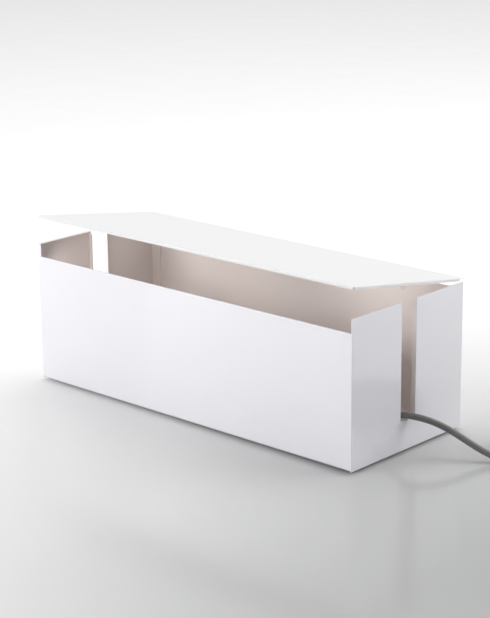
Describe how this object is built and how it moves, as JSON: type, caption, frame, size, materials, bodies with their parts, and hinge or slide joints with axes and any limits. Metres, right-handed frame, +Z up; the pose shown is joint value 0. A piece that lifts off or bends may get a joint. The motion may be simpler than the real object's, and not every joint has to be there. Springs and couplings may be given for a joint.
{
  "type": "desk-top cable box",
  "caption": "Long painted sheet-steel cable box with a low front, slotted end panels, a hinged flat lid standing ajar and a power lead leaving by one end.",
  "frame": {"origin": "on the table, under the middle of the footprint of the box with its hinges", "axes": "+X along the box towards the end the lead leaves by, -Y towards the low front panel, +Z up"},
  "size_m": [0.6105, 0.2006, 0.1659],
  "materials": {
    "painted_steel": "satin-gloss white powder coat",
    "pin_steel": "bright drawn steel",
    "rivet_steel": "white painted rivet heads",
    "washer_nylon": "natural nylon",
    "pad_rubber": "matt black rubber",
    "lead_sheath": "dark grey satin cable sheath",
    "tie_strap": "black strap",
    "moulded_plug": "fine-textured dark grey moulding",
    "contact_brass": "bright contact brass"
  },
  "bodies": {
    "box": {"body_shell": "painted_steel", "end_panel_left": "painted_steel", "end_panel_right": "painted_steel", "hinge_body_leaf_left": "painted_steel", "hinge_body_leaf_right": "painted_steel", "hinge_pin_left": "pin_steel", "hinge_pin_right": "pin_steel", "hinge_washers_left": "washer_nylon", "hinge_washers_right": "washer_nylon", "hinge_rivets": "rivet_steel", "base_pads": "pad_rubber", "lead_cable": "lead_sheath", "lead_coil": "lead_sheath", "lead_tail": "lead_sheath", "lead_tie": "tie_strap", "socket_body": "moulded_plug", "socket_strain_relief": "moulded_plug", "socket_contacts": "contact_brass", "plug_body": "moulded_plug", "plug_strain_relief": "moulded_plug", "plug_blades": "contact_brass"},
    "lid": {"lid_panel": "painted_steel", "hinge_lid_leaf_left": "painted_steel", "hinge_lid_leaf_right": "painted_steel"}
  },
  "joints": [
    {"name": "lid_hinge", "type": "hinge", "parent": "box", "child": "lid", "pos_m": [0, 0.0777, 0.1378], "axis": [-1, 0, 0], "range_deg": [-9, 91]}
  ]
}
